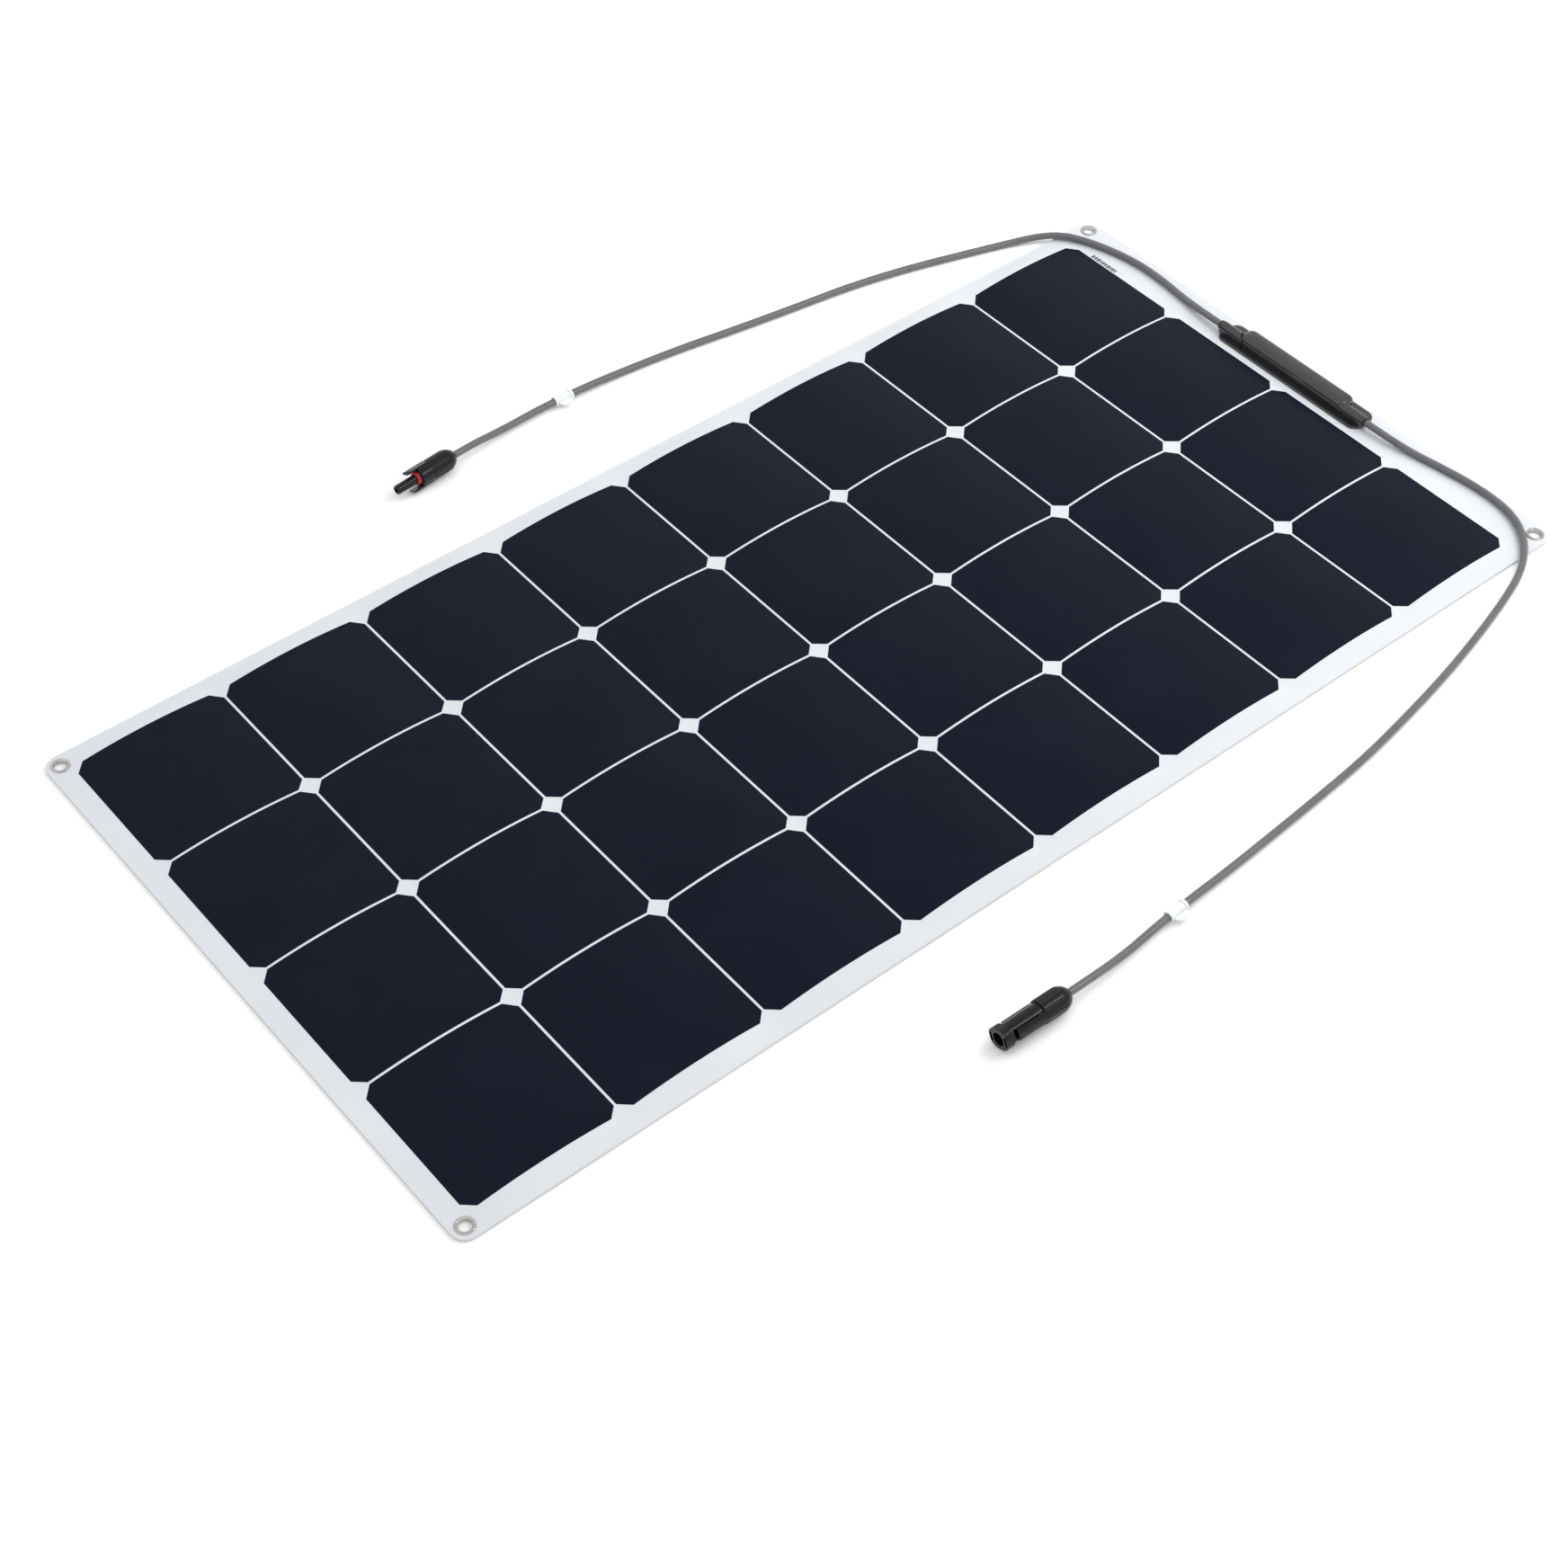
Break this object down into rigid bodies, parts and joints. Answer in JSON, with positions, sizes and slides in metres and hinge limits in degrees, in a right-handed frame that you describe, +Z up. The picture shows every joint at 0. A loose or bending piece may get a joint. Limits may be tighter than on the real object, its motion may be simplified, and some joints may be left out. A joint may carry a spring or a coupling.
{
  "type": "flexible solar sheet",
  "caption": "Thin semi-rigid solar sheet of back-contact cells with corner eyelets, a slim junction box on one end margin and two leads that end in a latching plug and a cup.",
  "frame": {"origin": "centre of the laminate's back face, the face that lies on the roof or deck", "axes": "+X along the sheet's long side towards the junction box, +Y across the sheet towards the plug's lead, +Z up out of the cell side"},
  "size_m": [1.069, 0.7504, 0.0193],
  "materials": {
    "back_sheet": "matt white polymer back sheet, fine orange peel",
    "board": "off-white glass-fibre reinforced board",
    "encapsulant": "clear to milky encapsulant over a white ground",
    "front_film": "clear textured front film, low gloss",
    "cells": "blue-black monocrystalline silicon, antireflective",
    "tinned_copper": "tinned copper ribbon",
    "label": "pale blue-grey printed strip with plain bars",
    "eyelet_metal": "nickel-plated brass, rolled and polished",
    "adhesive": "black silicone adhesive",
    "box_plastic": "satin black moulded plastic",
    "seal_rubber": "black elastomer",
    "diode_body": "black epoxy diode body",
    "lead_jacket": "dark grey cross-linked jacket, matt",
    "marker": "translucent white clip-on marker",
    "connector_plastic": "satin black glass-filled plastic",
    "cage_plastic": "black clamp cage",
    "ring_seal": "red silicone seal ring",
    "contact_metal": "tin-plated copper contact"
  },
  "bodies": {
    "root": {"back_sheet": "back_sheet", "stiffener_board": "board", "rear_encapsulant": "encapsulant", "front_encapsulant": "encapsulant", "front_film": "front_film", "cell_string_1": "cells", "cell_string_2": "cells", "cell_string_3": "cells", "cell_string_4": "cells", "cell_interconnects_1": "tinned_copper", "cell_interconnects_2": "tinned_copper", "cell_interconnects_3": "tinned_copper", "cell_interconnects_4": "tinned_copper", "bus_ribbons_plain_end": "tinned_copper", "bus_ribbons_box_end": "tinned_copper", "junction_terminals": "tinned_copper", "conductor_tails": "tinned_copper", "serial_label": "label", "eyelets": "eyelet_metal", "eyelet_washers": "eyelet_metal", "junction_adhesive": "adhesive", "junction_potting": "adhesive", "junction_base": "box_plastic", "junction_lid": "box_plastic", "lid_gasket": "seal_rubber", "strain_relief_far": "seal_rubber", "strain_relief_near": "seal_rubber", "plug_cable_seal": "seal_rubber", "cup_cable_seal": "seal_rubber", "bypass_diodes": "diode_body", "lead_far": "lead_jacket", "lead_near": "lead_jacket", "lead_marker_far": "marker", "lead_marker_near": "marker", "plug_body": "connector_plastic", "cup_body": "connector_plastic", "plug_seal_ring": "ring_seal", "plug_contact": "contact_metal", "cup_contact_pin": "contact_metal"},
    "plug_clamp": {"plug_clamp_cage": "cage_plastic"},
    "plug_nut": {"plug_gland_nut": "connector_plastic"},
    "cup_clamp": {"cup_clamp_cage": "cage_plastic"},
    "cup_nut": {"cup_gland_nut": "connector_plastic"},
    "latch_upper": {"latch_arm_upper": "connector_plastic"},
    "latch_lower": {"latch_arm_lower": "connector_plastic"}
  },
  "joints": [
    {"name": "plug_clamp_slide", "type": "slide", "parent": "root", "child": "plug_clamp", "axis": [0.9938, 0.1115, 0], "range_m": [0, 0.003]},
    {"name": "plug_nut_turn", "type": "hinge", "parent": "plug_clamp", "child": "plug_nut", "pos_m": [-0.11502, 0.35675, 0.00975], "axis": [0.9938, 0.1115, 0], "range_deg": [0, 720]},
    {"name": "cup_clamp_slide", "type": "slide", "parent": "root", "child": "cup_clamp", "axis": [0.9999, -0.0122, 0], "range_m": [0, 0.003]},
    {"name": "cup_nut_turn", "type": "hinge", "parent": "cup_clamp", "child": "cup_nut", "pos_m": [-0.1087, -0.36964, 0.00975], "axis": [0.9999, -0.0122, 0], "range_deg": [0, 720]},
    {"name": "latch_upper_press", "type": "hinge", "parent": "root", "child": "latch_upper", "pos_m": [-0.13081, 0.35851, 0.01694], "axis": [0.1002, -0.8932, 0.4384], "range_deg": [0, 5], "stiffness_Nm_per_rad": 1.5},
    {"name": "latch_lower_press", "type": "hinge", "parent": "root", "child": "latch_lower", "pos_m": [-0.13003, 0.35154, 0.00256], "axis": [-0.1002, 0.8932, -0.4384], "range_deg": [0, 5], "stiffness_Nm_per_rad": 1.5}
  ],
  "couplings": [
    {"joint": "plug_nut_turn", "follows": "plug_clamp_slide", "rad_per_m": 4188.8},
    {"joint": "cup_nut_turn", "follows": "cup_clamp_slide", "rad_per_m": 4188.8}
  ]
}
